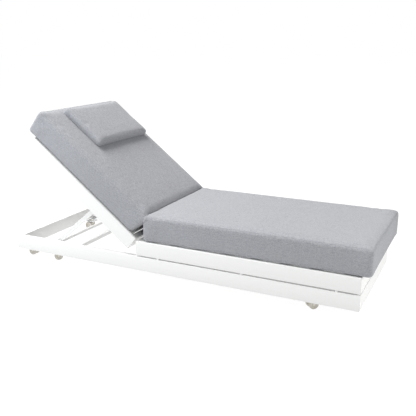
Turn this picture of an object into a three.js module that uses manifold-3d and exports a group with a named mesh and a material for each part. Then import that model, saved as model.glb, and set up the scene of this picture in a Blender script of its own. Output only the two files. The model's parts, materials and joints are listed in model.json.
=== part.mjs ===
// A reclining sun lounger: a low tubular base on castors, a seat frame carried above it on
// spacer sleeves, a hinged back frame held up by a swinging stay, and three cushions.
// Millimetres, +Z up, +X towards the foot end, +Y towards the far long side.
// The origin is on the floor, under the middle of the whole lounger.

import * as THREE from 'three';
import { mergeVertices } from 'three/addons/utils/BufferGeometryUtils.js';
import Module from 'manifold-3d';

const wasm = await Module();
wasm.setup();

// ---- overall ----
const frameLength = 2000;
const frameWidth = 740;
const backAngle = 37.5;             // tilt of the back frame above flat, degrees
const seamGap = 4;                  // between the back frame, laid flat, and the seat frame
const backLength = 816;

// ---- rectangular frame tube ----
const railHeight = 78;
const railDepth = 30;
const railWall = 2.5;
const touchGap = 0.3;               // between pieces that are welded or rest on each other
const frameGap = 7;                 // shadow gap between the base and the frames above it

// ---- spacer sleeves between the base and the seat frame ----
const spacerRadius = 8;
const spacerFaceInset = 1;          // from the outer face of the rails
const spacerBore = 3.2;
const spacerHeadInset = 130;        // from the seat frame's hinge end to the first sleeve
const spacerFootInset = 110;        // from the foot end to the last sleeve
const spacersPerSide = 3;

// ---- cross bars of the base ----
const crossBarWidth = 60;
const crossBarHeight = 20;
const crossBarLift = 6;             // above the underside of the base rails
const crossBarFromCastor = 68;      // head cross bar, behind the second castor
const crossBarUnderSeat = 360;      // middle cross bar, from the seat frame's hinge end

// ---- slat racks ----
const slatWidth = 56;
const slatThickness = 10;
const slatDrop = 2;                 // slat tops lie this far below the rail tops
const runnerWidth = 24;
const runnerThickness = 6;
const runnerCount = 3;
const slatRackEndGap = 6;           // from the cross rails, clear of the hinge leaves
const seatSlatCount = 8;
const backSlatCount = 6;

// ---- hinges between the seat frame and the back frame ----
const barrelRadius = 6;
const hingePinRadius = 3;
const pinClearance = 0.3;
const leafThickness = 2.6;
const hingeSetback = 14;            // hinge axis to the seat frame's hinge end
const leafWidth = 76;
const leafRoot = 1;                 // from a barrel to the full width of its leaf
const leafEdgeMargin = 2;           // back leaf's edge, short of its rail's inner edge
const knuckleWidth = 24;
const knuckleGap = 0.6;
const seatLeafDepth = 34;           // height of the seat leaf down the inside of its rail
const hingeInset = 130;             // centre of each hinge to the side of the frame
const hingePinHead = 1.6;
const hingePinHeadInset = 1;        // pin heads, smaller than the barrels

// ---- stay that props the back ----
const stayLength = 407;             // pivot to foot bar
const stayPivotFromHingeEnd = 285;  // along the back frame
const stayLegWidth = 26;
const stayLegThickness = 8;
const stayLegGap = 10;              // from the rail's inner face to the leg
const pivotBoltRadius = 4;
const pivotCollarRadius = 9;
const pivotHeadRadius = 8;
const pivotHeadThickness = 4;
const footBarRadius = 10;
const footBarEndGap = 1;

// ---- racks that the foot bar rests on ----
const rackThickness = 7;
const rackHeight = 15;
const rackSeatGap = 1.4;            // above the cross bars
const rackEndMargin = 32;           // past the centres of the outer steps
const rackStepPitch = 54;
const rackStepRadius = 13;
const rackStepDepth = 8;
const rackStepCount = 5;
const rackStepsHeadward = 1;        // steps between the rest step and the head end
const rackClearance = 0.6;

// ---- castors ----
const wheelDiameter = 50;
const wheelTreadWidth = 16;
const wheelGap = 14;                // between the twin treads of a castor
const wheelAxleRadius = 4;
const wheelHubRadius = 9;
const wheelHeadroom = 3;            // from the top of a wheel to the underside of the base
const castorTrail = 16;             // axle behind the kingpin
const castorForkClearance = 1;      // between the fork and the treads
const castorForkNeck = 8;           // height of the fork's web in front of the kingpin
const castorForkMargin = 2;         // web past the kingpin's collar
const castorCollarHeight = 1;
const treadEdge = 2;                // chamfer of a tread
const treadShoulder = 6;            // rim of a tread's outer face
const kingpinRadius = 5;
const kingpinInset = 81;            // from the side of the base
const castorPlateThickness = 3;
const castorPlateLift = 2;
const castorPlateLength = 60;
const castorPlateOverhang = 28;     // past the kingpin
const castorFlangeHeight = 18;
const kingpinHeadHeight = 3;
const kingpinHeadRadius = 8;
const headCastorInset = 75;         // kingpin from the head end
const secondCastorInset = 258;      // kingpin from the head end
const footCastorInset = 224;        // kingpin from the foot end
const castorStations = [            // distance along the base, resting swivel in degrees
  { x: headCastorInset, swivel: 0 },
  { x: secondCastorInset, swivel: 38 },
  { x: frameLength - footCastorInset, swivel: 44 },
];

// ---- back frame bumpers ----
const bumperRadius = 8;
const bumperInset = 60;             // from the side of the back frame

// ---- cushions ----
const cushionThickness = 138;
const cushionCornerRadius = 26;
const cushionSideInset = 8;         // from the side of the frame
const cushionLift = 2;              // above the rail tops
const seatCushionStart = 44;        // from the seat frame's hinge end
const seatCushionOverhang = 38;     // past the foot end
const backCushionStart = 48;        // from the back frame's hinge end
const backCushionOverhang = 58;     // past the top end of the back frame
const pillowLength = 296;
const pillowWidth = 510;
const pillowThickness = 58;
const pillowCornerRadius = 24;
const pillowLift = 2;               // above the back cushion
const pillowStart = 526;            // from the back frame's hinge end
const pillowOffset = 45;            // from the middle of the back, towards the far side

// ---- facets ----
const roundSegments = 20;
const wheelSegments = 36;
const cornerSegments = 5;
const cutOvershoot = 1;             // a cutting tool runs this far past what it cuts

// ---- heights and places worked out from the above ----
const baseHeight = wheelDiameter + wheelHeadroom;
const upperHeight = baseHeight + railHeight + frameGap;
const seatStart = backLength + seamGap;
const seatLength = frameLength - seatStart;
const hingeX = seatStart + hingeSetback;
const hingeZ = upperHeight + railHeight + touchGap + barrelRadius;
const backLeafReach = seamGap + hingeSetback + railDepth - leafEdgeMargin;
const seatCushionLength = seatLength - seatCushionStart + seatCushionOverhang;
const backCushionLength = backLength - backCushionStart + backCushionOverhang;
const footEnd = frameLength + seatCushionOverhang;
const rackTop = crossBarLift + crossBarHeight + rackSeatGap + rackHeight;
const footBarHeight = rackTop + rackClearance + footBarRadius;
const innerWidth = frameWidth - 2 * railDepth;
const tilt = THREE.MathUtils.degToRad(backAngle);

// ---- finishes ----
const paint = new THREE.MeshStandardMaterial({ color: 0xf0f0ee, roughness: 0.45, metalness: 0.1 });
const steel = new THREE.MeshStandardMaterial({ color: 0xb8babc, roughness: 0.35, metalness: 1 });
const fabric = new THREE.MeshStandardMaterial({ color: 0xb4b6ba, roughness: 0.95, metalness: 0 });
const headrestFabric = new THREE.MeshStandardMaterial({ color: 0xaeb0b5, roughness: 0.95, metalness: 0 });
const ivoryPlastic = new THREE.MeshStandardMaterial({ color: 0xe9e6da, roughness: 0.5, metalness: 0 });
const wheelPlastic = new THREE.MeshStandardMaterial({ color: 0x4a463e, roughness: 0.6, metalness: 0 });
const bumperRubber = new THREE.MeshStandardMaterial({ color: 0xdddcd8, roughness: 0.8, metalness: 0 });

// ---- from three.js geometry to manifold-3d and back ----
function solidOf(geometry) {
  const bare = geometry.index ? geometry.toNonIndexed() : geometry.clone();
  bare.deleteAttribute('normal');
  bare.deleteAttribute('uv');
  const merged = mergeVertices(bare, 1e-4);
  const vertProperties = new Float32Array(merged.attributes.position.array);
  const triVerts = new Uint32Array(merged.index.array);
  return new wasm.Manifold(new wasm.Mesh({ numProp: 3, vertProperties, triVerts }));
}

function geometryOf(solid) {
  const mesh = solid.getMesh();
  const geometry = new THREE.BufferGeometry();
  geometry.setAttribute('position', new THREE.BufferAttribute(mesh.vertProperties, 3));
  geometry.setIndex(new THREE.BufferAttribute(mesh.triVerts, 1));
  geometry.computeVertexNormals();
  return geometry;
}

function union(geometries) {
  return geometryOf(geometries.map(solidOf).reduce((whole, next) => whole.add(next)));
}

function cut(geometry, tools) {
  return geometryOf(tools.map(solidOf).reduce((rest, tool) => rest.subtract(tool), solidOf(geometry)));
}

function block(x0, x1, y0, y1, z0, z1) {
  const geometry = new THREE.BoxGeometry(x1 - x0, y1 - y0, z1 - z0);
  return geometry.translate((x0 + x1) / 2, (y0 + y1) / 2, (z0 + z1) / 2);
}

// A round bar along Y from y0 to y1.
function barAlongY(radius, y0, y1, x = 0, z = 0, segments = roundSegments) {
  const geometry = new THREE.CylinderGeometry(radius, radius, y1 - y0, segments);
  return geometry.translate(x, (y0 + y1) / 2, z);
}

// A round bar along Z from z0 to z1.
function barAlongZ(radius, z0, z1, x = 0, y = 0, segments = roundSegments) {
  const geometry = new THREE.CylinderGeometry(radius, radius, z1 - z0, segments);
  return geometry.rotateX(Math.PI / 2).translate(x, y, (z0 + z1) / 2);
}

function outline(points) {
  return new THREE.Shape(points.map(([x, y]) => new THREE.Vector2(x, y)));
}

function named(name, geometry, material) {
  const mesh = new THREE.Mesh(geometry, material);
  mesh.name = name;
  return mesh;
}

// ---- frames ----
// A hollow tube whose outer face lies on y = 0 and whose two ends are mitred at 45 degrees.
function mitredRail(length) {
  const plan = outline([
    [touchGap, 0],
    [length - touchGap, 0],
    [length - touchGap - railDepth, railDepth],
    [touchGap + railDepth, railDepth],
  ]);
  const outside = new THREE.ExtrudeGeometry(plan, { depth: railHeight, bevelEnabled: false });
  const inside = block(-cutOvershoot, length + cutOvershoot, railWall, railDepth - railWall,
    railWall, railHeight - railWall);
  return cut(outside, [inside]);
}

// Four mitred rails, from x = 0 to length and y = 0 to frameWidth, resting on z = 0.
function railFrame(prefix, length, headName, footName) {
  const frame = new THREE.Group();
  const near = named(`${prefix}_side_rail_near`, mitredRail(length), paint);
  const far = named(`${prefix}_side_rail_far`, mitredRail(length), paint);
  far.rotation.z = Math.PI;
  far.position.set(length, frameWidth, 0);
  const head = named(`${prefix}_${headName}`, mitredRail(frameWidth), paint);
  head.rotation.z = -Math.PI / 2;
  head.position.set(0, frameWidth, 0);
  const foot = named(`${prefix}_${footName}`, mitredRail(frameWidth), paint);
  foot.rotation.z = Math.PI / 2;
  foot.position.set(length, 0, 0);
  frame.add(near, far, head, foot);
  return frame;
}

// Cross slats welded on lengthwise runners, filling a frame of the given length.
function slatRack(name, length, slatCount) {
  const x0 = railDepth + slatRackEndGap;
  const x1 = length - railDepth - slatRackEndGap;
  const top = railHeight - slatDrop;
  const pitch = (x1 - x0 - slatWidth) / (slatCount - 1);
  const pieces = [];
  for (let i = 0; i < slatCount; i += 1) {
    const x = x0 + i * pitch;
    const y0 = railDepth + touchGap;
    pieces.push(block(x, x + slatWidth, y0, frameWidth - y0, top - slatThickness, top));
  }
  for (let i = 1; i <= runnerCount; i += 1) {
    const y = railDepth + (innerWidth * i) / (runnerCount + 1) - runnerWidth / 2;
    const under = top - slatThickness;
    pieces.push(block(x0, x1, y, y + runnerWidth, under - runnerThickness, under + touchGap));
  }
  return named(name, union(pieces), paint);
}

function crossBar(name, x) {
  const half = crossBarWidth / 2;
  const y0 = railDepth + touchGap;
  const z1 = crossBarLift + crossBarHeight;
  const bar = block(x - half, x + half, y0, frameWidth - y0, crossBarLift, z1);
  const hollow = block(x - half + railWall, x + half - railWall, 0, frameWidth,
    crossBarLift + railWall, z1 - railWall);
  return named(name, cut(bar, [hollow]), paint);
}

// ---- spacer sleeves ----
function spacerSleeves() {
  const sleeves = new THREE.Group();
  const first = seatStart + spacerHeadInset;
  const last = frameLength - spacerFootInset;
  const inset = spacerFaceInset + spacerRadius;
  for (const [side, y] of [['near', inset], ['far', frameWidth - inset]]) {
    for (let i = 0; i < spacersPerSide; i += 1) {
      const z0 = railHeight + touchGap;
      const z1 = railHeight + frameGap - touchGap;
      const bore = barAlongZ(spacerBore, z0 - cutOvershoot, z1 + cutOvershoot);
      const sleeve = cut(barAlongZ(spacerRadius, z0, z1), [bore]);
      const mesh = named(`spacer_${side}_${i + 1}`, sleeve, paint);
      mesh.position.set(first + ((last - first) * i) / (spacersPerSide - 1), y, 0);
      sleeves.add(mesh);
    }
  }
  return sleeves;
}

// ---- castors ----
// An angle bracket: its flange is fixed to the side rail, its plate carries the kingpin.
function castorBracket(name) {
  const half = castorPlateLength / 2;
  const y0 = railDepth + touchGap - kingpinInset;
  const top = castorPlateLift + castorPlateThickness;
  const plate = block(-half, half, y0, castorPlateOverhang, castorPlateLift, top);
  const flange = block(-half, half, y0, y0 + castorPlateThickness, castorPlateLift, castorFlangeHeight);
  const hole = barAlongZ(kingpinRadius + pinClearance, -cutOvershoot, castorFlangeHeight);
  return named(name, cut(union([plate, flange]), [hole]), steel);
}

// The fork: one web between the twin treads, with the kingpin standing on it.
function castorFork(name) {
  const axleZ = wheelDiameter / 2 - baseHeight;
  const webHalf = wheelGap / 2 - castorForkClearance;
  const webTop = castorPlateLift - touchGap - castorCollarHeight;
  const webFront = kingpinHeadRadius + castorForkMargin;
  const web = outline([
    [-castorTrail - wheelHubRadius, axleZ - wheelHubRadius],
    [-castorTrail + wheelHubRadius, axleZ - wheelHubRadius],
    [webFront, webTop - castorForkNeck],
    [webFront, webTop],
    [-castorTrail - wheelHubRadius, webTop],
  ]);
  const webSolid = new THREE.ExtrudeGeometry(web, { depth: 2 * webHalf, bevelEnabled: false });
  webSolid.rotateX(Math.PI / 2).translate(0, webHalf, 0);
  const collar = barAlongZ(kingpinHeadRadius, webTop - castorCollarHeight, castorPlateLift - touchGap);
  const plateTop = castorPlateLift + castorPlateThickness;
  const kingpin = barAlongZ(kingpinRadius, webTop - castorCollarHeight, plateTop + kingpinHeadHeight);
  const head = barAlongZ(kingpinHeadRadius, plateTop + touchGap, plateTop + kingpinHeadHeight);
  const axleHole = barAlongY(wheelAxleRadius + pinClearance, -wheelGap, wheelGap, -castorTrail, axleZ);
  return named(name, cut(union([webSolid, collar, kingpin, head]), [axleHole]), ivoryPlastic);
}

// Twin treads on one axle, turned as a single spool.
function castorWheel(name) {
  const radius = wheelDiameter / 2;
  const inner = wheelGap / 2;
  const outer = inner + wheelTreadWidth;
  const profile = [
    [0, -outer], [radius - treadShoulder, -outer], [radius, -outer + treadEdge],
    [radius, -inner - treadEdge], [radius - treadEdge, -inner], [wheelAxleRadius, -inner],
    [wheelAxleRadius, inner], [radius - treadEdge, inner], [radius, inner + treadEdge],
    [radius, outer - treadEdge], [radius - treadShoulder, outer], [0, outer],
  ].map(([r, y]) => new THREE.Vector2(r, y));
  return named(name, new THREE.LatheGeometry(profile, wheelSegments), wheelPlastic);
}

function castor(label, x, y, swivel, towardsInside) {
  const whole = new THREE.Group();
  whole.position.set(x, y, 0);
  const bracket = castorBracket(`castor_bracket_${label}`);
  bracket.rotation.z = towardsInside > 0 ? 0 : Math.PI;
  const swivelling = new THREE.Group();
  swivelling.rotation.z = THREE.MathUtils.degToRad(swivel * towardsInside);
  const wheel = castorWheel(`castor_wheel_${label}`);
  wheel.position.set(-castorTrail, 0, wheelDiameter / 2 - baseHeight);
  swivelling.add(castorFork(`castor_fork_${label}`), wheel);
  whole.add(bracket, swivelling);
  return whole;
}

function castors() {
  const all = new THREE.Group();
  castorStations.forEach(({ x, swivel }, index) => {
    all.add(castor(`near_${index + 1}`, x, kingpinInset, swivel, 1));
    all.add(castor(`far_${index + 1}`, x, frameWidth - kingpinInset, swivel, -1));
  });
  return all;
}

// ---- racks ----
// The foot bar's axis at rest, measured in the base: the stay hangs from its pivot.
function stayPivotAtRest() {
  const dx = backLength - stayPivotFromHingeEnd - hingeX;
  const dz = upperHeight + railHeight / 2 - hingeZ;
  return {
    x: hingeX + dx * Math.cos(tilt) + dz * Math.sin(tilt),
    z: hingeZ - dx * Math.sin(tilt) + dz * Math.cos(tilt),
  };
}

const stayPivot = stayPivotAtRest();
const stayDrop = Math.asin((stayPivot.z - baseHeight - footBarHeight) / stayLength);
const footBarX = stayPivot.x - stayLength * Math.cos(stayDrop);

function stepRack(name, y0) {
  const firstStep = footBarX - rackStepsHeadward * rackStepPitch;
  const lastStep = firstStep + (rackStepCount - 1) * rackStepPitch;
  const y1 = y0 + rackThickness;
  const plate = block(firstStep - rackEndMargin, lastStep + rackEndMargin, y0, y1,
    rackTop - rackHeight, rackTop);
  const steps = [];
  for (let i = 0; i < rackStepCount; i += 1) {
    const x = firstStep + i * rackStepPitch;
    const z = rackTop + rackStepRadius - rackStepDepth;
    steps.push(barAlongY(rackStepRadius, y0 - cutOvershoot, y1 + cutOvershoot, x, z));
  }
  return named(name, cut(plate, steps), steel);
}

function stepRacks() {
  const racks = new THREE.Group();
  const inside = railDepth + touchGap;
  racks.add(stepRack('stay_rack_near', inside));
  racks.add(stepRack('stay_rack_far', frameWidth - inside - rackThickness));
  return racks;
}

// ---- hinges ----
function knuckle(y0, y1) {
  return barAlongY(barrelRadius, y0, y1);
}

// Both leaves are drawn about the hinge axis, with the frame's top faces below it.
function seatLeaf(name) {
  const half = knuckleWidth / 2;
  const bottom = -barrelRadius;
  const railEdge = railDepth - hingeSetback;
  const tongue = block(0, barrelRadius + 2 * leafRoot, -half, half, bottom, bottom + leafThickness);
  const top = block(barrelRadius + leafRoot, railEdge + touchGap + leafThickness, -leafWidth / 2,
    leafWidth / 2, bottom, bottom + leafThickness);
  const skirt = block(railEdge + touchGap, railEdge + touchGap + leafThickness, -leafWidth / 2,
    leafWidth / 2, bottom - seatLeafDepth, bottom + leafThickness);
  const leaf = union([knuckle(-half, half), tongue, top, skirt]);
  const bore = barAlongY(hingePinRadius + pinClearance, -leafWidth, leafWidth);
  return named(name, cut(leaf, [bore]), steel);
}

function backLeaf(name) {
  const bottom = -barrelRadius;
  const pieces = [block(-backLeafReach, -barrelRadius - leafRoot, -leafWidth / 2, leafWidth / 2,
    bottom, bottom + leafThickness)];
  for (const side of [-1, 1]) {
    const inner = side * (knuckleWidth / 2 + knuckleGap);
    const outer = side * (leafWidth / 2);
    const y0 = Math.min(inner, outer);
    const y1 = Math.max(inner, outer);
    pieces.push(knuckle(y0, y1));
    pieces.push(block(-barrelRadius - 2 * leafRoot, 0, y0, y1, bottom, bottom + leafThickness));
  }
  const bore = barAlongY(hingePinRadius + pinClearance, -leafWidth, leafWidth);
  return named(name, cut(union(pieces), [bore]), steel);
}

function hingePin(name) {
  const half = leafWidth / 2 + touchGap;
  const shank = barAlongY(hingePinRadius, -half - hingePinHead, half + hingePinHead);
  const heads = [-1, 1].map((side) => {
    const inner = side * half;
    const outer = side * (half + hingePinHead);
    return barAlongY(barrelRadius - hingePinHeadInset, Math.min(inner, outer), Math.max(inner, outer));
  });
  return named(name, union([shank, ...heads]), steel);
}

// ---- stay ----
// Drawn about its pivot, hanging along -X; y is measured across the whole lounger.
function stayLeg(name, y0) {
  const half = stayLegWidth / 2;
  const shape = new THREE.Shape();
  shape.moveTo(0, -half);
  shape.absarc(0, 0, half, -Math.PI / 2, Math.PI / 2, false);
  shape.lineTo(-stayLength, half);
  shape.absarc(-stayLength, 0, half, Math.PI / 2, (3 * Math.PI) / 2, false);
  const pivotHole = new THREE.Path();
  pivotHole.absarc(0, 0, pivotBoltRadius + pinClearance, 0, 2 * Math.PI, true);
  const barHole = new THREE.Path();
  barHole.absarc(-stayLength, 0, footBarRadius + touchGap, 0, 2 * Math.PI, true);
  shape.holes.push(pivotHole, barHole);
  const plate = new THREE.ExtrudeGeometry(shape, {
    depth: stayLegThickness, bevelEnabled: false, curveSegments: roundSegments / 2,
  });
  return named(name, plate.rotateX(Math.PI / 2).translate(0, y0 + stayLegThickness, 0), paint);
}

function footBar() {
  const end = railDepth + footBarEndGap;
  const bar = barAlongY(footBarRadius - touchGap, end, frameWidth - end);
  const bore = barAlongY(footBarRadius - railWall, 0, frameWidth);
  const tube = cut(bar, [bore]);
  return named('stay_foot_bar', tube.translate(-stayLength, 0, 0), paint);
}

// A shouldered bolt: collar against the rail, shank through the leg, head inside.
function pivotBolt(name, fromInside) {
  const start = touchGap;
  const collarEnd = stayLegGap - touchGap;
  const headStart = stayLegGap + stayLegThickness + touchGap;
  const profile = [
    [0, start], [pivotCollarRadius, start], [pivotCollarRadius, collarEnd],
    [pivotBoltRadius, collarEnd], [pivotBoltRadius, headStart], [pivotHeadRadius, headStart],
    [pivotHeadRadius, headStart + pivotHeadThickness], [0, headStart + pivotHeadThickness],
  ].map(([r, y]) => new THREE.Vector2(r, y));
  const bolt = named(name, new THREE.LatheGeometry(profile, roundSegments), steel);
  bolt.position.y = fromInside > 0 ? railDepth : frameWidth - railDepth;
  bolt.rotation.z = fromInside > 0 ? 0 : Math.PI;
  return bolt;
}

function stay() {
  const hanging = new THREE.Group();
  const legInset = railDepth + stayLegGap;
  hanging.add(stayLeg('stay_leg_near', legInset));
  hanging.add(stayLeg('stay_leg_far', frameWidth - legInset - stayLegThickness));
  hanging.add(footBar());
  hanging.rotation.y = -(tilt + stayDrop);
  return hanging;
}

// ---- cushions ----
// A block of foam in its cover: rounded along its long and cross edges, width along Y.
function cushion(name, length, width, thickness, radius, material) {
  const shape = new THREE.Shape();
  shape.moveTo(radius, 0);
  shape.lineTo(length - radius, 0);
  shape.absarc(length - radius, radius, radius, -Math.PI / 2, 0, false);
  shape.lineTo(length, thickness - radius);
  shape.absarc(length - radius, thickness - radius, radius, 0, Math.PI / 2, false);
  shape.lineTo(radius, thickness);
  shape.absarc(radius, thickness - radius, radius, Math.PI / 2, Math.PI, false);
  shape.lineTo(0, radius);
  shape.absarc(radius, radius, radius, Math.PI, 1.5 * Math.PI, false);
  const body = new THREE.ExtrudeGeometry(shape, {
    depth: width, bevelEnabled: false, curveSegments: cornerSegments,
  });
  return named(name, body.rotateX(Math.PI / 2).translate(0, width, 0), material);
}

function seatCushion() {
  const width = frameWidth - 2 * cushionSideInset;
  const pad = cushion('seat_cushion', seatCushionLength, width, cushionThickness,
    cushionCornerRadius, fabric);
  pad.position.set(seatCushionStart, cushionSideInset, railHeight + cushionLift);
  return pad;
}

function backCushion() {
  const width = frameWidth - 2 * cushionSideInset;
  const pad = cushion('back_cushion', backCushionLength, width, cushionThickness,
    cushionCornerRadius, fabric);
  pad.position.set(backLength - backCushionStart - backCushionLength, cushionSideInset,
    railHeight + cushionLift);
  return pad;
}

function headrestPillow() {
  const pillow = cushion('headrest_pillow', pillowLength, pillowWidth, pillowThickness,
    pillowCornerRadius, headrestFabric);
  pillow.position.set(backLength - pillowStart - pillowLength,
    (frameWidth - pillowWidth) / 2 + pillowOffset,
    railHeight + cushionLift + cushionThickness + pillowLift);
  return pillow;
}

// ---- assembly ----
function base() {
  const whole = railFrame('base', frameLength, 'head_rail', 'foot_rail');
  whole.add(crossBar('base_cross_bar_head', secondCastorInset + crossBarFromCastor));
  whole.add(crossBar('base_cross_bar_middle', seatStart + crossBarUnderSeat));
  whole.add(spacerSleeves(), stepRacks(), castors());
  whole.position.z = baseHeight;
  return whole;
}

function hingeSet() {
  const set = { seat: new THREE.Group(), back: new THREE.Group() };
  for (const [side, y] of [['near', hingeInset], ['far', frameWidth - hingeInset]]) {
    const seatHalf = seatLeaf(`hinge_seat_leaf_${side}`);
    const pin = hingePin(`hinge_pin_${side}`);
    const backHalf = backLeaf(`hinge_back_leaf_${side}`);
    for (const piece of [seatHalf, pin, backHalf]) piece.position.y = y;
    set.seat.add(seatHalf, pin);
    set.back.add(backHalf);
  }
  return set;
}

function seatAssembly(hinges) {
  const whole = railFrame('seat', seatLength, 'hinge_rail', 'foot_rail');
  whole.add(slatRack('seat_slat_rack', seatLength, seatSlatCount));
  whole.add(seatCushion());
  whole.position.set(seatStart, 0, upperHeight);
  hinges.position.set(hingeX - seatStart, 0, hingeZ - upperHeight);
  whole.add(hinges);
  return whole;
}

function bumpers() {
  const pair = new THREE.Group();
  for (const [side, y] of [['near', bumperInset], ['far', frameWidth - bumperInset]]) {
    const stud = barAlongZ(bumperRadius, -frameGap + touchGap, -touchGap);
    const mesh = named(`back_bumper_${side}`, stud, bumperRubber);
    mesh.position.set(railDepth / 2, y, 0);
    pair.add(mesh);
  }
  return pair;
}

// The back assembly is drawn laid flat over the base, then turned about the hinge axis.
function backAssembly(hinges) {
  const flat = railFrame('back', backLength, 'top_rail', 'hinge_rail');
  flat.add(slatRack('back_slat_rack', backLength, backSlatCount));
  flat.add(backCushion(), headrestPillow(), bumpers());
  const pivot = new THREE.Group();
  pivot.position.set(backLength - stayPivotFromHingeEnd, 0, railHeight / 2);
  pivot.add(pivotBolt('stay_pivot_bolt_near', 1), pivotBolt('stay_pivot_bolt_far', -1), stay());
  flat.add(pivot);
  flat.position.set(-hingeX, 0, upperHeight - hingeZ);
  const turned = new THREE.Group();
  turned.position.set(hingeX, 0, hingeZ);
  turned.rotation.y = tilt;
  turned.add(flat, hinges);
  return turned;
}

const hinges = hingeSet();
const lounger = new THREE.Group();
lounger.position.set(-footEnd / 2, -frameWidth / 2, 0);
lounger.add(base(), seatAssembly(hinges.seat), backAssembly(hinges.back));

export default lounger;
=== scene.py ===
import json
import math

import bpy
from mathutils import Matrix, Vector
from mathutils.bvhtree import BVHTree

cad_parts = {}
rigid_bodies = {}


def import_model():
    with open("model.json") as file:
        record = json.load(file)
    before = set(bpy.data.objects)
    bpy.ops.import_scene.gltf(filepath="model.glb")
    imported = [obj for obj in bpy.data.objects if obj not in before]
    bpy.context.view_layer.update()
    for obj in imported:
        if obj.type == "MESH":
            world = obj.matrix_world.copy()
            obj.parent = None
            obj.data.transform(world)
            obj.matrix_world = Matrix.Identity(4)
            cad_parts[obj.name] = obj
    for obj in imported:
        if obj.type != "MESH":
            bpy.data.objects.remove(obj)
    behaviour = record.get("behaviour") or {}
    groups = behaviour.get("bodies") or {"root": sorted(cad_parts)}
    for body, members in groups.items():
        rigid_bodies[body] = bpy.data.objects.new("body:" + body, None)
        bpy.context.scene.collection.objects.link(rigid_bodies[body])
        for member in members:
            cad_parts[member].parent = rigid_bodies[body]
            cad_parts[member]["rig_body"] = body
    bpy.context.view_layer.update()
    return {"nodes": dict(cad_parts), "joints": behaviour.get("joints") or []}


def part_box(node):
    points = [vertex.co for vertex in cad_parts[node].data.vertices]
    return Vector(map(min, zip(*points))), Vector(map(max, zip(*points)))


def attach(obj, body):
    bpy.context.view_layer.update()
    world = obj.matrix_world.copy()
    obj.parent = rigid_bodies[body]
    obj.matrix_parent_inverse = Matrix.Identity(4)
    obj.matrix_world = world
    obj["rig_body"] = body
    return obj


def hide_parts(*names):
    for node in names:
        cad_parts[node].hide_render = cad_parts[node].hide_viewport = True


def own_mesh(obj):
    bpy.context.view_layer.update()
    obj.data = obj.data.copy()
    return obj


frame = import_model()
joints = {joint["name"]: joint for joint in frame["joints"]}
sides = ("near", "far")

# ---- Studio ----
# A plain pale floor, an even white surround and soft lamps, with the camera standing at the
# foot end on the near side, a little above the cushions.
floor_size = 60.0
floor_tone = 0.13
floor_glow = 0.93
surround_light = 0.44

bpy.ops.object.select_all(action="DESELECT")
bpy.ops.mesh.primitive_plane_add(size=floor_size)
floor = bpy.context.object
floor.name = "studio_floor"
floor_finish = bpy.data.materials.new("floor_white")
floor_finish.use_nodes = True
floor_shader = floor_finish.node_tree.nodes["Principled BSDF"]
floor_shader.inputs["Base Color"].default_value = (floor_tone, floor_tone, floor_tone, 1)
floor_shader.inputs["Roughness"].default_value = 0.9
floor_shader.inputs["Specular IOR Level"].default_value = 0.1
floor_shader.inputs["Emission Color"].default_value = (1, 1, 1, 1)
floor_shader.inputs["Emission Strength"].default_value = floor_glow
floor.data.materials.append(floor_finish)

studio = bpy.context.scene
studio.view_settings.view_transform = "Standard"
surround = bpy.data.worlds.new("studio_surround")
surround.use_nodes = True
sweep = surround.node_tree
soft_light = sweep.nodes["Background"]
soft_light.inputs["Color"].default_value = (1, 1, 1, 1)
soft_light.inputs["Strength"].default_value = surround_light
backdrop = sweep.nodes.new("ShaderNodeBackground")
backdrop.inputs["Color"].default_value = (1, 1, 1, 1)
seen = sweep.nodes.new("ShaderNodeLightPath")
either = sweep.nodes.new("ShaderNodeMixShader")
sweep.links.new(seen.outputs["Is Camera Ray"], either.inputs["Fac"])
sweep.links.new(soft_light.outputs["Background"], either.inputs[1])
sweep.links.new(backdrop.outputs["Background"], either.inputs[2])
sweep.links.new(either.outputs["Shader"], sweep.nodes["World Output"].inputs["Surface"])
studio.world = surround


def soft_lamp(name, place, aim, width, depth, power, colour):
    """A rectangular soft box at place, facing aim."""
    lamp = bpy.data.lights.new(name, "AREA")
    lamp.shape = "RECTANGLE"
    lamp.size = width
    lamp.size_y = depth
    lamp.energy = power
    lamp.color = colour
    stand = bpy.data.objects.new(name, lamp)
    studio.collection.objects.link(stand)
    stand.location = place
    stand.rotation_euler = (Vector(aim) - Vector(place)).to_track_quat("-Z", "Y").to_euler()


soft_lamp(
    "lamp_overhead", place=(-2.9, -0.6, 5.5), aim=(0.1, 0, 0.3),
    width=4.0, depth=3.4, power=500, colour=(1, 0.995, 0.985),
)
soft_lamp(
    "lamp_head_side", place=(-1.7, -2.0, 1.6), aim=(-0.75, 0, 0.6),
    width=0.9, depth=0.8, power=24, colour=(0.88, 0.94, 1),
)
soft_lamp(
    "lamp_foot", place=(2.3, -0.4, 0.8), aim=(1.0, 0, 0.3),
    width=0.7, depth=0.6, power=11, colour=(1, 1, 0.995),
)

camera_place = Vector((1.438, -3.046, 1.262))
camera_turn = math.radians(116.77)
camera_dip = math.radians(14.7)
camera_lens = 53.6
camera_shift = (0.058, -0.019)
camera_data = bpy.data.cameras.new("camera")
camera_data.sensor_width = 36
camera_data.lens = camera_lens
camera_data.shift_x, camera_data.shift_y = camera_shift
camera = bpy.data.objects.new("camera", camera_data)
studio.collection.objects.link(camera)
camera.location = camera_place
looking = Vector((
    math.cos(camera_turn) * math.cos(camera_dip),
    math.sin(camera_turn) * math.cos(camera_dip),
    -math.sin(camera_dip),
))
camera.rotation_euler = looking.to_track_quat("-Z", "Y").to_euler()
studio.camera = camera

# ---- Powder coat ----
# Satin white polyester powder, baked on the aluminium tube. It has a faint orange peel, a
# little unevenness in the white, and it is drawn darker towards the bottom.
cloud_scale = 7
clouding_share = 0.07
low_darkening_share = 0.5
dulling_share = 0.25
peel_strength = 0.35


def add_node(tree, kind, place=(0, 0), **settings):
    node = tree.nodes.new(kind)
    node.location = place
    for key, value in settings.items():
        setattr(node, key, value)
    return node


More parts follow.
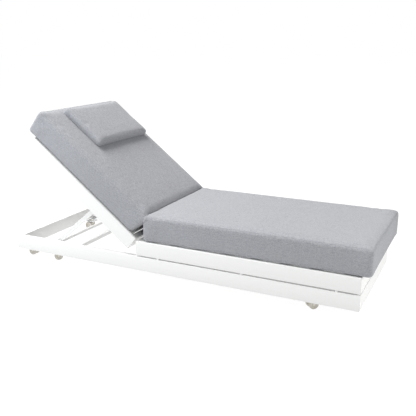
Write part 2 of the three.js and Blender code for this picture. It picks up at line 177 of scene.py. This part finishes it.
def new_group(name, takes, gives):
    """An empty node group with its inputs and outputs; takes gives each input's default."""
    group = bpy.data.node_groups.new(name, "ShaderNodeTree")
    for label, kind, default in takes:
        socket = group.interface.new_socket(label, in_out="INPUT", socket_type=kind)
        if default is not None:
            socket.default_value = default
    for label, kind in gives:
        group.interface.new_socket(label, in_out="OUTPUT", socket_type=kind)
    return group, add_node(group, "NodeGroupInput"), add_node(group, "NodeGroupOutput")


def coating_group():
    """Unevenness, darkening towards the bottom and orange peel of a sprayed or moulded surface."""
    group, given, result = new_group(
        "surface_unevenness",
        [
            ("Clean", "NodeSocketColor", (0.8, 0.8, 0.8, 1)),
            ("Darker tone", "NodeSocketColor", (0.6, 0.6, 0.58, 1)),
            ("Grain", "NodeSocketFloat", 700.0),
            ("Darkening height", "NodeSocketFloat", 0.09),
            ("Gloss", "NodeSocketFloat", 0.4),
        ],
        [("Colour", "NodeSocketColor"), ("Roughness", "NodeSocketFloat"), ("Height", "NodeSocketFloat")],
    )
    link = group.links.new
    where = add_node(group, "ShaderNodeTexCoord")
    cloud = add_node(group, "ShaderNodeTexNoise")
    cloud.inputs["Scale"].default_value = cloud_scale
    cloud.inputs["Detail"].default_value = 4
    link(where.outputs["Object"], cloud.inputs["Vector"])
    peel = add_node(group, "ShaderNodeTexNoise")
    peel.inputs["Detail"].default_value = 2
    link(where.outputs["Object"], peel.inputs["Vector"])
    link(given.outputs["Grain"], peel.inputs["Scale"])
    split = add_node(group, "ShaderNodeSeparateXYZ")
    link(where.outputs["Object"], split.inputs["Vector"])
    # The colour goes darker towards the bottom, below the given height, patchily with the cloud.
    low = add_node(group, "ShaderNodeMapRange", interpolation_type="SMOOTHSTEP")
    low.inputs["From Min"].default_value = 0
    low.inputs["To Min"].default_value = low_darkening_share
    low.inputs["To Max"].default_value = 0
    link(split.outputs["Z"], low.inputs["Value"])
    link(given.outputs["Darkening height"], low.inputs["From Max"])
    patchy = add_node(group, "ShaderNodeMath", operation="MULTIPLY")
    link(low.outputs["Result"], patchy.inputs[0])
    link(cloud.outputs["Fac"], patchy.inputs[1])
    uneven = add_node(group, "ShaderNodeMath", operation="MULTIPLY_ADD")
    uneven.inputs[1].default_value = clouding_share
    link(cloud.outputs["Fac"], uneven.inputs[0])
    link(patchy.outputs["Value"], uneven.inputs[2])
    tint = add_node(group, "ShaderNodeMix", data_type="RGBA")
    link(uneven.outputs["Value"], tint.inputs["Factor"])
    link(given.outputs["Clean"], tint.inputs["A"])
    link(given.outputs["Darker tone"], tint.inputs["B"])
    dull = add_node(group, "ShaderNodeMath", operation="MULTIPLY_ADD")
    dull.inputs[1].default_value = dulling_share
    link(uneven.outputs["Value"], dull.inputs[0])
    link(given.outputs["Gloss"], dull.inputs[2])
    link(tint.outputs["Result"], result.inputs["Colour"])
    link(dull.outputs["Value"], result.inputs["Roughness"])
    link(peel.outputs["Fac"], result.inputs["Height"])
    return group


unevenness = coating_group()


def coated(name, clean, darker_tone, gloss, grain, relief, metallic=0.0, darkening_height=0.09):
    """A material whose colour, roughness and relief come from the unevenness group."""
    finish = bpy.data.materials.new(name)
    finish.use_nodes = True
    tree = finish.node_tree
    shader = tree.nodes["Principled BSDF"]
    shader.inputs["Metallic"].default_value = metallic
    texture = add_node(tree, "ShaderNodeGroup", (-500, 0), node_tree=unevenness)
    texture.inputs["Clean"].default_value = (*clean, 1)
    texture.inputs["Darker tone"].default_value = (*darker_tone, 1)
    texture.inputs["Grain"].default_value = grain
    texture.inputs["Darkening height"].default_value = darkening_height
    texture.inputs["Gloss"].default_value = gloss
    bump = add_node(tree, "ShaderNodeBump", (-220, -200))
    bump.inputs["Strength"].default_value = peel_strength
    bump.inputs["Distance"].default_value = relief
    tree.links.new(texture.outputs["Colour"], shader.inputs["Base Color"])
    tree.links.new(texture.outputs["Roughness"], shader.inputs["Roughness"])
    tree.links.new(texture.outputs["Height"], bump.inputs["Height"])
    tree.links.new(bump.outputs["Normal"], shader.inputs["Normal"])
    return finish


powder_coat = coated(
    "white_powder_coat", clean=(0.825, 0.825, 0.815), darker_tone=(0.60, 0.60, 0.56),
    gloss=0.38, grain=420, relief=0.00012,
)
steel_finish = coated(
    "satin_steel", clean=(0.60, 0.61, 0.62), darker_tone=(0.40, 0.39, 0.37),
    gloss=0.30, grain=1400, relief=0.00005, metallic=1.0,
)


def paint_node(name, finish):
    """Gives a CAD node its finish."""
    node = frame["nodes"][name]
    node.data.materials.clear()
    node.data.materials.append(finish)


# ---- Rails ----
# Rectangular aluminium tube with a small outer radius, mitred at the corners, welded and
# ground flush before coating. The back frame's rails are drawn flat, then tilted.
rail_corner = 0.0025
rail_corner_steps = 3
rail_smooth_angle = math.radians(35)
hinge = Vector(joints["back_tilt"]["pos_m"])
shift_axis = joints["back_pad_shift"]["axis"]
tilt = math.atan2(shift_axis[2], -shift_axis[0])
raise_back = (
    Matrix.Translation(hinge) @ Matrix.Rotation(tilt, 4, "Y") @ Matrix.Translation(-hinge)
)
in_place = Matrix.Identity(4)


def flat_box(node, placing):
    """The corners of a CAD node's box, seen before it was placed by the matrix."""
    undo = placing.inverted()
    points = [undo @ v.co for v in frame["nodes"][node].data.vertices]
    low = Vector([min(p[k] for p in points) for k in range(3)])
    high = Vector([max(p[k] for p in points) for k in range(3)])
    return low, high


def block(name, low, high):
    """A box between two corners, left selected and active."""
    bpy.ops.object.select_all(action="DESELECT")
    bpy.ops.mesh.primitive_cube_add(size=1, location=(low + high) / 2)
    made = bpy.context.object
    made.name = name
    made.scale = high - low
    bpy.ops.object.transform_apply(location=True, rotation=True, scale=True)
    return made


def select_edges(piece, wanted):
    """Goes to edit mode with just the wanted edges of the piece selected."""
    bpy.ops.object.mode_set(mode="EDIT")
    bpy.ops.mesh.select_mode(type="EDGE")
    bpy.ops.mesh.select_all(action="DESELECT")
    bpy.ops.object.mode_set(mode="OBJECT")
    for edge in piece.data.edges:
        a, b = (piece.data.vertices[i].co for i in edge.vertices)
        edge.select = wanted(a, b)
    bpy.ops.object.mode_set(mode="EDIT")


def mitred_rail(node, placing, along, inner):
    """A tube in the place of a CAD rail; along is its axis, inner the way to its inner face."""
    low, high = flat_box(node, placing)
    across = 1 - along
    rail = block(node + "_tube", low, high)
    depth = high[across] - low[across]
    middle = (low + high) / 2
    for vertex in rail.data.vertices:
        if (vertex.co[across] - middle[across]) * inner > 0:
            vertex.co[along] -= math.copysign(depth, vertex.co[along] - middle[along])
    select_edges(rail, lambda a, b: abs(a[across] - b[across]) + abs(a.z - b.z) < 1e-6)
    bpy.ops.mesh.bevel(offset=rail_corner, segments=rail_corner_steps, affect="EDGES")
    bpy.ops.object.mode_set(mode="OBJECT")
    rail.data.transform(placing)
    bpy.ops.object.shade_smooth_by_angle(angle=rail_smooth_angle)
    rail.data.materials.append(powder_coat)
    return rail


def rail_set(prefix, head_name, foot_name, placing, body):
    """The four rails of one frame."""
    for name, along, inner in (
        ("side_rail_near", 0, 1),
        ("side_rail_far", 0, -1),
        (head_name, 1, 1),
        (foot_name, 1, -1),
    ):
        node = f"{prefix}_{name}"
        rail = mitred_rail(node, placing, along, inner)
        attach(rail, body)
        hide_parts(node)


rail_set("base", "head_rail", "foot_rail", in_place, "base")
rail_set("seat", "hinge_rail", "foot_rail", in_place, "base")
rail_set("back", "top_rail", "hinge_rail", raise_back, "back_frame")

# ---- Cross bars, slats, stay and small fittings ----
# Cut from tube and plate, deburred so that every edge is slightly rounded, then coated.
# The racks, brackets, hinges and bolts are zinc-plated steel.
deburred_edge = 0.0006
sharp_angle = math.radians(32)
flat_angle = math.radians(1)
merge_distance = 0.00001


def deburred(node, finish, edge=deburred_edge):
    """A merged copy of a CAD node with its sharp edges rounded."""
    original = frame["nodes"][node]
    piece = original.copy()
    piece.data = original.data.copy()
    piece.parent = None
    for key in list(piece.keys()):
        if key.startswith("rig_"):
            del piece[key]
    piece.name = node + "_finished"
    studio.collection.objects.link(piece)
    bpy.ops.object.select_all(action="DESELECT")
    piece.select_set(True)
    bpy.context.view_layer.objects.active = piece
    piece.data.materials.clear()
    bpy.ops.object.mode_set(mode="EDIT")
    bpy.ops.mesh.select_all(action="SELECT")
    bpy.ops.mesh.remove_doubles(threshold=merge_distance)
    bpy.ops.mesh.dissolve_limited(angle_limit=flat_angle)
    bpy.ops.object.mode_set(mode="OBJECT")
    rounding = piece.modifiers.new("rounding", "BEVEL")
    rounding.width = edge
    rounding.segments = 2
    rounding.limit_method = "ANGLE"
    rounding.angle_limit = sharp_angle
    rounding.use_clamp_overlap = True
    bpy.ops.object.modifier_apply(modifier=rounding.name)
    bpy.ops.object.shade_smooth_by_angle(angle=sharp_angle)
    piece.data.materials.append(finish)
    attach(piece, original["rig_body"])
    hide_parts(node)
    return piece


for cross_piece in ("base_cross_bar_head", "base_cross_bar_middle"):
    deburred(cross_piece, powder_coat, edge=0.0012)
for rack in ("seat_slat_rack", "back_slat_rack"):
    deburred(rack, powder_coat, edge=0.001)
deburred("stay_foot_bar", powder_coat)
for side in sides:
    deburred(f"stay_leg_{side}", powder_coat, edge=0.001)
    deburred(f"stay_pivot_bolt_{side}", steel_finish)
    deburred(f"stay_rack_{side}", steel_finish)
    for hinge_part in ("seat_leaf", "back_leaf", "pin"):
        deburred(f"hinge_{hinge_part}_{side}", steel_finish, edge=0.0003)
    for number in (1, 2, 3):
        paint_node(f"spacer_{side}_{number}", powder_coat)
        deburred(f"castor_bracket_{side}_{number}", steel_finish)

# ---- Back frame bumpers ----
# Two soft plugs under the top rail, which land on the base when the back lies flat.
bumper_rubber = coated(
    "bumper_rubber", clean=(0.72, 0.72, 0.70), darker_tone=(0.5, 0.49, 0.46),
    gloss=0.75, grain=900, relief=0.0001,
)
for side in sides:
    deburred(f"back_bumper_{side}", bumper_rubber, edge=0.0015)

# ---- Cushion cloth ----
# A melange weave of light and dark blue-grey yarn, with short slubs along the lounger and
# fine flecks all over. The threads cross over and under, which gives the cloth its relief.
yarn_pitch = 0.0022
slubs_along = 35
slubs_across = 150
fleck_scale = 210
fading_scale = 5
slub_share = 0.40
fleck_share = 1.20
fading_share = 0.10
crossing_share = 0.10
yarn_balance = -0.36
slub_relief = 0.5
yarn_roughness = 0.95
thread_polish = -0.12


def weave_group():
    """Melange colour and thread relief, laid flat on each side of a cushion."""
    group, given, result = new_group(
        "melange_weave",
        [
            ("Light yarn", "NodeSocketColor", (0.5, 0.5, 0.5, 1)),
            ("Dark yarn", "NodeSocketColor", (0.2, 0.2, 0.2, 1)),
            ("Tilt", "NodeSocketFloat", 0.0),
            ("Pitch", "NodeSocketFloat", yarn_pitch),
        ],
        [("Colour", "NodeSocketColor"), ("Height", "NodeSocketFloat"), ("Roughness", "NodeSocketFloat")],
    )
    link = group.links.new
    where = add_node(group, "ShaderNodeTexCoord")

    def math_node(operation, first, second=None, third=None):
        node = add_node(group, "ShaderNodeMath", operation=operation)
        for socket, value in zip(node.inputs, (first, second, third)):
            if value is None:
                continue
            if isinstance(value, (int, float)):
                socket.default_value = value
            else:
                link(value, socket)
        return node.outputs["Value"]

    def level(output):
        """Turns a direction back from the tilt of the back frame to flat."""
        turn = add_node(group, "ShaderNodeVectorRotate", rotation_type="Y_AXIS")
        link(where.outputs[output], turn.inputs["Vector"])
        link(given.outputs["Tilt"], turn.inputs["Angle"])
        split = add_node(group, "ShaderNodeSeparateXYZ")
        link(turn.outputs["Vector"], split.inputs["Vector"])
        return turn.outputs["Vector"], split.outputs

    flat_place, place = level("Object")
    _, facing = level("Normal")
    size = [math_node("ABSOLUTE", facing[axis]) for axis in "XYZ"]
    end_face = math_node("GREATER_THAN", size[0], math_node("MAXIMUM", size[1], size[2]))
    side_face = math_node("GREATER_THAN", size[1], math_node("MAXIMUM", size[0], size[2]))

    def choose(switch, otherwise, chosen):
        node = add_node(group, "ShaderNodeMix", data_type="FLOAT")
        link(switch, node.inputs["Factor"])
        link(otherwise, node.inputs["A"])
        link(chosen, node.inputs["B"])
        return node.outputs["Result"]

    warp = choose(end_face, place["X"], place["Y"])
    weft = choose(end_face, choose(side_face, place["Y"], place["Z"]), place["Z"])
    turns = math_node("DIVIDE", math.pi, given.outputs["Pitch"])
    warp_wave = math_node("SINE", math_node("MULTIPLY", warp, turns))
    weft_wave = math_node("SINE", math_node("MULTIPLY", weft, turns))
    crossing = math_node("MULTIPLY", warp_wave, weft_wave)
    threads = math_node("ABSOLUTE", crossing)

    slubs_place = add_node(group, "ShaderNodeCombineXYZ")
    link(math_node("MULTIPLY", warp, slubs_along), slubs_place.inputs["X"])
    link(math_node("MULTIPLY", weft, slubs_across), slubs_place.inputs["Y"])
    slubs = add_node(group, "ShaderNodeTexNoise")
    slubs.inputs["Scale"].default_value = 1
    slubs.inputs["Detail"].default_value = 3
    link(slubs_place.outputs["Vector"], slubs.inputs["Vector"])
    flecks = add_node(group, "ShaderNodeTexNoise")
    flecks.inputs["Scale"].default_value = fleck_scale
    flecks.inputs["Detail"].default_value = 3
    link(flat_place, flecks.inputs["Vector"])
    fading = add_node(group, "ShaderNodeTexNoise")
    fading.inputs["Scale"].default_value = fading_scale
    fading.inputs["Detail"].default_value = 3
    link(flat_place, fading.inputs["Vector"])

    blend = math_node("MULTIPLY_ADD", slubs.outputs["Fac"], slub_share, yarn_balance)
    blend = math_node("MULTIPLY_ADD", flecks.outputs["Fac"], fleck_share, blend)
    blend = math_node("MULTIPLY_ADD", fading.outputs["Fac"], fading_share, blend)
    blend = math_node("MULTIPLY_ADD", crossing, crossing_share, blend)
    colour = add_node(group, "ShaderNodeMix", data_type="RGBA", clamp_factor=True)
    link(blend, colour.inputs["Factor"])
    link(given.outputs["Dark yarn"], colour.inputs["A"])
    link(given.outputs["Light yarn"], colour.inputs["B"])
    link(colour.outputs["Result"], result.inputs["Colour"])
    relief = math_node("MULTIPLY_ADD", slubs.outputs["Fac"], slub_relief, threads)
    roughness = math_node("MULTIPLY_ADD", threads, thread_polish, yarn_roughness)
    link(relief, result.inputs["Height"])
    link(roughness, result.inputs["Roughness"])
    return group


weave = weave_group()


def cloth(name, light, dark, turned):
    """A material of the weave; turned is the way the cushion's frame is tilted."""
    finish = bpy.data.materials.new(name)
    finish.use_nodes = True
    tree = finish.node_tree
    shader = tree.nodes["Principled BSDF"]
    shader.inputs["Specular IOR Level"].default_value = 0.22
    shader.inputs["Sheen Weight"].default_value = 0.18
    shader.inputs["Sheen Roughness"].default_value = 0.5
    yarn = add_node(tree, "ShaderNodeGroup", (-500, 0), node_tree=weave)
    yarn.inputs["Light yarn"].default_value = (*light, 1)
    yarn.inputs["Dark yarn"].default_value = (*dark, 1)
    yarn.inputs["Tilt"].default_value = turned
    yarn.inputs["Pitch"].default_value = yarn_pitch
    bump = add_node(tree, "ShaderNodeBump", (-220, -200))
    bump.inputs["Strength"].default_value = 0.5
    bump.inputs["Distance"].default_value = 0.0004
    tree.links.new(yarn.outputs["Colour"], shader.inputs["Base Color"])
    tree.links.new(yarn.outputs["Roughness"], shader.inputs["Roughness"])
    tree.links.new(yarn.outputs["Height"], bump.inputs["Height"])
    tree.links.new(bump.outputs["Normal"], shader.inputs["Normal"])
    return finish


light_yarn = (0.46, 0.465, 0.485)
dark_yarn = (0.19, 0.195, 0.215)
seat_cloth = cloth("seat_cloth", light_yarn, dark_yarn, 0.0)
back_cloth = cloth("back_cloth", light_yarn, dark_yarn, -tilt)

# ---- Cushions ----
# A block of foam in a zipped cover cut a little small, so the cloth is drawn tight: the faces
# crown, the sides pull in between the corners, and the underside lies flat on the slats.
swelling_steps = 20
cover_pressure = 4.0
corner_steps = 5


def only(piece):
    """Selects this piece alone and makes it active."""
    bpy.ops.object.select_all(action="DESELECT")
    piece.select_set(True)
    bpy.context.view_layer.objects.active = piece


def swell(pad, voxel, most):
    """Blows the cover up by cloth simulation, then limits how far each point has moved."""
    only(pad)
    remesh = pad.modifiers.new("fine", "REMESH")
    remesh.mode = "VOXEL"
    remesh.voxel_size = voxel
    bpy.ops.object.modifier_apply(modifier=remesh.name)
    before = [v.co.copy() for v in pad.data.vertices]
    cover = pad.modifiers.new("cover", "CLOTH")
    cover.settings.use_pressure = True
    cover.settings.uniform_pressure_force = cover_pressure
    cover.settings.effector_weights.gravity = 0
    cover.settings.quality = 5
    cover.point_cache.frame_start = 1
    cover.point_cache.frame_end = swelling_steps
    for step in range(1, swelling_steps + 1):
        studio.frame_set(step)
    bpy.ops.object.modifier_apply(modifier=cover.name)
    studio.frame_set(1)
    for vertex, start in zip(pad.data.vertices, before):
        moved = vertex.co - start
        if moved.length > most:
            vertex.co = start + moved * (most / moved.length)


def fill_out(pad, low, high):
    """Stretches the swollen cover so that it just fills the space between two corners."""
    for axis in range(3):
        least = min(v.co[axis] for v in pad.data.vertices)
        stretch = (high[axis] - low[axis]) / (max(v.co[axis] for v in pad.data.vertices) - least)
        for vertex in pad.data.vertices:
            vertex.co[axis] = low[axis] + (vertex.co[axis] - least) * stretch


def cushion(name, node, placing, corner, voxel, most, crown, swells, sag, tuck, evening):
    """A cover in the space of a CAD cushion, still laid flat.

    It stands proud of that space by crown on top and by swells at the head end, the foot end
    and the sides. Its underside is cut level by sag, and its lower rim is tucked in.
    """
    low, high = flat_box(node, placing)
    pad = block(name, low, high)
    select_edges(pad, lambda a, b: True)
    bpy.ops.mesh.bevel(offset=corner, segments=corner_steps, affect="EDGES")
    bpy.ops.object.mode_set(mode="OBJECT")
    swell(pad, voxel, most)
    head_swell, foot_swell, side_swell = swells
    fill_out(
        pad, low - Vector((head_swell, side_swell, sag)), high + Vector((foot_swell, side_swell, crown))
    )
    middle = (low + high) / 2
    for vertex in pad.data.vertices:
        vertex.co.z = max(vertex.co.z, low.z)
        below = max(0, 1 - (vertex.co.z - low.z) / tuck)
        drawn_in = tuck * (1 - math.sqrt(1 - below ** 2))
        for axis in range(2):
            from_middle = (vertex.co[axis] - middle[axis]) / (high[axis] - middle[axis])
            vertex.co[axis] -= drawn_in * from_middle
    only(pad)
    smoothing = pad.modifiers.new("evening", "SMOOTH")
    smoothing.factor = 0.5
    smoothing.iterations = evening
    bpy.ops.object.modifier_apply(modifier=smoothing.name)
    finer = pad.modifiers.new("finer", "SUBSURF")
    finer.levels = 1
    finer.render_levels = 1
    bpy.ops.object.modifier_apply(modifier=finer.name)
    return pad


def fit_cover(pad, node, placing, finish, body):
    pad.data.transform(placing)
    only(pad)
    bpy.ops.object.shade_smooth()
    pad.data.materials.clear()
    pad.data.materials.append(finish)
    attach(pad, body)
    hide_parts(node)


def surface_of(pad):
    """The cover as a searchable surface, in its own space."""
    corners = [v.co for v in pad.data.vertices]
    return BVHTree.FromPolygons(corners, [face.vertices for face in pad.data.polygons])


def sewn_edge(name, pad, level, placing, finish, body, node):
    """A narrow seam round the cover, where the top or under panel meets the side band."""
    surface = surface_of(pad)
    xs = [v.co.x for v in pad.data.vertices]
    ys = [v.co.y for v in pad.data.vertices]
    zs = [v.co.z for v in pad.data.vertices]
    half = Vector(((max(xs) - min(xs)) / 2, (max(ys) - min(ys)) / 2))
    middle = Vector(((max(xs) + min(xs)) / 2, (max(ys) + min(ys)) / 2))
    edge_height = min(zs) + level * (max(zs) - min(zs))
    turns = math.floor(4 * (half.x + half.y) / seam_step)
    points = []
    for turn in range(turns):
        way = 2 * math.pi * turn / turns
        out = Vector((math.cos(way), math.sin(way)))
        reach = max(abs(out.x) / half.x, abs(out.y) / half.y)
        rim = middle + out / reach
        outward = Vector((
            max(-1, min(1, (rim.x - middle.x) / half.x)) ** seam_squareness,
            max(-1, min(1, (rim.y - middle.y) / half.y)) ** seam_squareness,
            0,
        )).normalized()
        start = Vector((rim.x, rim.y, edge_height)) + outward * seam_search
        found, _, _, _ = surface.ray_cast(start, -outward, 2 * seam_search)
        if found is not None:
            points.append(found)
    thread = bpy.data.curves.new(name, "CURVE")
    thread.dimensions = "3D"
    thread.bevel_depth = seam_radius
    thread.bevel_resolution = 2
    line = thread.splines.new("POLY")
    line.points.add(len(points) - 1)
    for spot, place in zip(line.points, points):
        spot.co = (*place, 1)
    line.use_cyclic_u = True
    seam = bpy.data.objects.new(name, thread)
    studio.collection.objects.link(seam)
    only(seam)
    bpy.ops.object.convert(target="MESH")
    seam = bpy.context.object
    seam.data.transform(placing)
    bpy.ops.object.shade_smooth()
    seam.data.materials.clear()
    seam.data.materials.append(finish)
    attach(seam, body)
    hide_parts(node)
    return seam


seam_levels = (("top", 0.90), ("under", 0.09))
seam_step = 0.008
seam_search = 0.08
seam_squareness = 9
seam_radius = 0.0011
thick_pad = {
    "corner": 0.014, "voxel": 0.008, "most": 0.010, "sag": 0.020, "tuck": 0.012, "evening": 3,
}

seat_pad = cushion(
    "seat_cushion_cover", "seat_cushion", in_place,
    crown=0.012, swells=(0.009, 0.008, 0.004), **thick_pad,
)
seat_surface = surface_of(seat_pad)
seat_seams = []
for label, level in seam_levels:
    seat_seams.append(sewn_edge(
        f"seat_cushion_seam_{label}", seat_pad, level, in_place, seat_cloth,
        "seat_pad", "seat_cushion",
    ))
fit_cover(seat_pad, "seat_cushion", in_place, seat_cloth, "seat_pad")

# The seat cover and its seams each get a mesh of their own.
for piece in (seat_pad, *seat_seams):
    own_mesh(piece)

# The back cushion's lower end leans on the seat cushion: its front edge is pushed down on it,
# and the foam gives way along the line where they touch.
lean_reach = 0.042
lean_length = 0.20
press_depth = 0.014
press_length = 0.06
lean_gap = 0.002
back_pad = cushion(
    "back_cushion_cover", "back_cushion", raise_back,
    crown=0.015, swells=(0, 0.004, 0.004), **thick_pad,
)
pad_low = Vector([min(v.co[axis] for v in back_pad.data.vertices) for axis in range(3)])
pad_high = Vector([max(v.co[axis] for v in back_pad.data.vertices) for axis in range(3)])
for vertex in back_pad.data.vertices:
    from_end = pad_high.x - vertex.co.x
    height = (vertex.co.z - pad_low.z) / (pad_high.z - pad_low.z)
    vertex.co.x += lean_reach * max(0, 1 - from_end / lean_length) * height
    vertex.co.z -= press_depth * max(0, 1 - from_end / press_length) ** 2 * height
    spot = raise_back @ vertex.co
    touching, outward, _, _ = seat_surface.find_nearest(spot)
    depth = (touching - spot).dot(outward)
    if depth > -lean_gap and (touching - spot).length < lean_reach:
        vertex.co = raise_back.inverted() @ (spot + outward * (depth + lean_gap))
back_seams = []
for label, level in seam_levels:
    back_seams.append(sewn_edge(
        f"back_cushion_seam_{label}", back_pad, level, raise_back, back_cloth,
        "back_pad", "back_cushion",
    ))

# ---- Headrest ----
# A flatter pillow in the same cloth. It lies loose on the back cushion, so its underside takes
# the cushion's crown. Its seam runs round the middle of the rim.
pillow_rest = 0.0008
pillow_seam_level = 0.42
headrest = cushion(
    "headrest_cover", "headrest_pillow", raise_back,
    corner=0.015, voxel=0.006, most=0.010, crown=-0.002, swells=(0.002, 0.002, 0.002),
    sag=0.004, tuck=0.004, evening=8,
)
under = surface_of(back_pad)
for vertex in headrest.data.vertices:
    above = Vector((vertex.co.x, vertex.co.y, vertex.co.z + 1))
    found, _, _, _ = under.ray_cast(above, Vector((0, 0, -1)), 2)
    if found is not None:
        vertex.co.z = max(vertex.co.z, found.z + pillow_rest)
sewn_edge(
    "headrest_seam", headrest, pillow_seam_level, raise_back, back_cloth,
    "back_pad", "headrest_pillow",
)
fit_cover(
    headrest, "headrest_pillow", raise_back, back_cloth, "back_pad",
)
fit_cover(
    back_pad, "back_cushion", raise_back, back_cloth, "back_pad"
)

# The back cover and its seams each get a mesh of their own.
for piece in (back_pad, *back_seams):
    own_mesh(piece)

# ---- Castors ----
# Twin-wheel furniture castors: moulded hubs with a darker beige tread on each side of the
# fork, and an ivory fork that carries the kingpin. A wheel is turned once about Y, then copied.
ivory_plastic = coated(
    "ivory_plastic", clean=(0.80, 0.77, 0.69), darker_tone=(0.5, 0.47, 0.4),
    gloss=0.42, grain=600, relief=0.0001,
)
tread_plastic = coated(
    "tread_plastic", clean=(0.60, 0.57, 0.51), darker_tone=(0.46, 0.44, 0.40),
    gloss=0.5, grain=800, relief=0.0002,
)
wheel_low, wheel_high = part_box("castor_wheel_near_1")
wheel_radius = (wheel_high.z - wheel_low.z) / 2
spool_half = (wheel_high.y - wheel_low.y) / 2
tread_width = 0.016
tread_rounding = 0.0028
tread_rounding_steps = 4
hub_radius = 0.0185
hub_seat_depth = 0.0016
hub_dish = 0.0022
hub_rim = 0.003
hub_cap_radius = 0.0065
hub_cap_height = 0.0018
hub_clearance = 0.0003
hub_cap_margin = 0.0009
hub_cap_slope = 0.0006
hub_edge = 0.0005
wheel_facets = 48


def disc(name, radius, start, end):
    """A round blank along Y, left selected and active."""
    bpy.ops.object.select_all(action="DESELECT")
    bpy.ops.mesh.primitive_cylinder_add(
        vertices=wheel_facets, radius=radius, depth=end - start,
        location=(0, (start + end) / 2, 0), rotation=(math.pi / 2, 0, 0),
    )
    made = bpy.context.object
    made.name = name
    bpy.ops.object.transform_apply(location=True, rotation=True, scale=True)
    return made


def select_cap(piece, way):
    """Goes to edit mode with the round end face on one side selected."""
    bpy.ops.object.mode_set(mode="EDIT")
    bpy.ops.mesh.select_mode(type="FACE")
    bpy.ops.mesh.select_all(action="DESELECT")
    bpy.ops.object.mode_set(mode="OBJECT")
    caps = [face for face in piece.data.polygons if len(face.vertices) > 4]
    chosen = max(caps, key=lambda face: face.center.y * way)
    chosen.select = True
    bpy.ops.object.mode_set(mode="EDIT")


def step_in(width, depth, way):
    """Insets the selected end face, then pushes it along Y."""
    bpy.ops.mesh.inset(thickness=width, depth=0)
    bpy.ops.mesh.extrude_region_move(TRANSFORM_OT_translate={"value": (0, depth * way, 0)})


def round_rims(piece, radius, amount, segments):
    """Rounds the rims that stand at this distance from the axle."""
    select_edges(
        piece,
        lambda a, b: abs(math.hypot(a.x, a.z) - radius) < 1e-4
        and abs(math.hypot(b.x, b.z) - radius) < 1e-4
        and abs(a.y - b.y) < 1e-5,
    )
    bpy.ops.mesh.bevel(offset=amount, segments=segments, affect="EDGES")
    bpy.ops.object.mode_set(mode="OBJECT")


def joined(name, pieces):
    only(pieces[0])
    for piece in pieces[1:]:
        piece.select_set(True)
    bpy.ops.object.join()
    whole = bpy.context.object
    whole.name = name
    bpy.ops.object.shade_smooth_by_angle(angle=sharp_angle)
    return whole


def tread(way):
    """One tread ring, with the seat for its hub sunk into the outer face."""
    outer = spool_half * way
    inner = (spool_half - tread_width) * way
    ring = disc("tread", wheel_radius, min(inner, outer), max(inner, outer))
    round_rims(ring, wheel_radius, tread_rounding, tread_rounding_steps)
    select_cap(ring, way)
    step_in(wheel_radius - tread_rounding - hub_radius, -hub_seat_depth, way)
    bpy.ops.object.mode_set(mode="OBJECT")
    return ring


def hub(way):
    """A dished hub with a raised cap over the end of the axle."""
    outer = (spool_half - hub_seat_depth / 2) * way
    inner = (spool_half - tread_width / 2) * way
    face = disc("hub", hub_radius - hub_clearance, min(inner, outer), max(inner, outer))
    select_cap(face, way)
    step_in(hub_rim, -hub_dish, way)
    step_in(hub_radius - hub_rim - hub_cap_radius - hub_cap_margin, 0, way)
    step_in(hub_cap_slope, hub_cap_height, way)
    bpy.ops.object.mode_set(mode="OBJECT")
    rounding = face.modifiers.new("rounding", "BEVEL")
    rounding.width = hub_edge
    rounding.segments = 2
    rounding.limit_method = "ANGLE"
    rounding.angle_limit = sharp_angle
    only(face)
    bpy.ops.object.modifier_apply(modifier=rounding.name)
    return face


treads = joined("castor_treads", [tread(-1), tread(1)])
treads.data.materials.append(tread_plastic)
hubs = joined("castor_hubs", [hub(-1), hub(1)])
hubs.data.materials.append(ivory_plastic)
for side in sides:
    for number in (1, 2, 3):
        fork = deburred(f"castor_fork_{side}_{number}", ivory_plastic, edge=0.001)
        axle = joints[f"roll_{side}_{number}"]
        turned = Vector((0, 1, 0)).rotation_difference(Vector(axle["axis"])).to_matrix().to_4x4()
        placing = Matrix.Translation(Vector(axle["pos_m"])) @ turned
        for pattern, label, slot_name in (
            (treads, "tread", "wheel_plastic"),
            (hubs, "hub", "ivory_plastic"),
        ):
            piece = pattern.copy()
            piece.data = pattern.data.copy()
            piece.name = f"castor_{label}_{side}_{number}"
            studio.collection.objects.link(piece)
            piece.data.transform(placing)
            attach(piece, f"castor_roll_{side}_{number}")
            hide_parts(f"castor_wheel_{side}_{number}")
for pattern in (treads, hubs):
    bpy.data.objects.remove(pattern)
